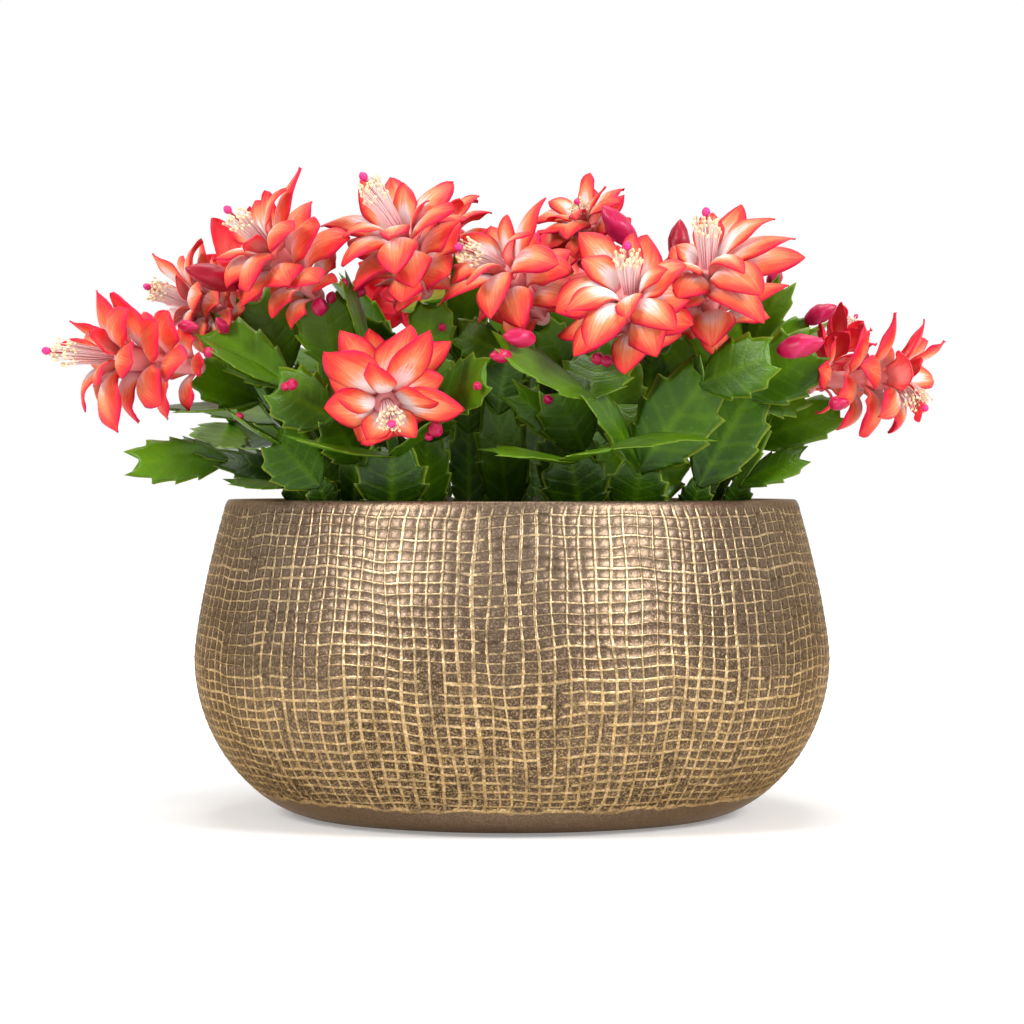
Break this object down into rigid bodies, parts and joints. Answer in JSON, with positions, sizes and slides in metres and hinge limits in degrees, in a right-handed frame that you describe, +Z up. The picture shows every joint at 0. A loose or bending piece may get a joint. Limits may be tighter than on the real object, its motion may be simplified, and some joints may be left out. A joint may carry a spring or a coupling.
{
  "type": "potted christmas cactus",
  "caption": "Flowering christmas cactus: arching chains of flat toothed segments with tiered coral blooms, in a rounded woven-relief ceramic bowl.",
  "frame": {"origin": "middle of the pot's flat base, on the surface that it stands on", "axes": "+Z up; -Y is the front that the picture shows; +X is to the right seen from the front"},
  "size_m": [0.3855, 0.4084, 0.2916],
  "materials": {
    "bronze_glaze": "brown-bronze glaze with gold in the grooves of a woven relief",
    "dark_soil": "loose dark potting soil with a few white crumbs",
    "green_stem": "fleshy, softly waxy green",
    "coral_petals": "thin satin petals, coral with a pale pink throat",
    "magenta_bud": "satin magenta"
  },
  "bodies": {
    "root": {"bud_back_right": "magenta_bud", "bud_left": "magenta_bud", "bud_right": "magenta_bud", "bud_right_high": "magenta_bud", "bud_top_middle": "magenta_bud", "bud_top_right": "magenta_bud", "flower_back_left": "coral_petals", "flower_back_low": "coral_petals", "flower_back_middle": "coral_petals", "flower_back_right": "coral_petals", "flower_centre": "coral_petals", "flower_far_left": "coral_petals", "flower_far_right": "coral_petals", "flower_front": "coral_petals", "flower_half_open": "coral_petals", "flower_high_left": "coral_petals", "flower_middle": "coral_petals", "flower_pale_left": "coral_petals", "flower_rear_right": "coral_petals", "flower_right": "coral_petals", "flower_top": "coral_petals", "flower_top_behind": "coral_petals", "pot": "bronze_glaze", "potting_soil": "dark_soil", "stem_arch_left": "green_stem", "stem_bright_left": "green_stem", "stem_centre": "green_stem", "stem_centre_dark": "green_stem", "stem_centre_high": "green_stem", "stem_centre_left": "green_stem", "stem_centre_wedge": "green_stem", "stem_edge_left": "green_stem", "stem_front_left": "green_stem", "stem_front_right": "green_stem", "stem_high_left": "green_stem", "stem_high_right": "green_stem", "stem_inner_1": "green_stem", "stem_inner_2": "green_stem", "stem_inner_3": "green_stem", "stem_left_wedge": "green_stem", "stem_low_left": "green_stem", "stem_low_right": "green_stem", "stem_lower_1": "green_stem", "stem_lower_2": "green_stem", "stem_lower_3": "green_stem", "stem_lower_4": "green_stem", "stem_lower_5": "green_stem", "stem_mid_right": "green_stem", "stem_middle_high": "green_stem", "stem_rim_left": "green_stem", "stem_rim_right": "green_stem", "stem_round_left": "green_stem", "stem_side_1": "green_stem", "stem_side_2": "green_stem", "stem_top_left": "green_stem", "stem_top_right": "green_stem", "stem_upper_1": "green_stem", "stem_upper_2": "green_stem", "stem_upper_3": "green_stem", "stem_upper_4": "green_stem"}
  },
  "joints": []
}
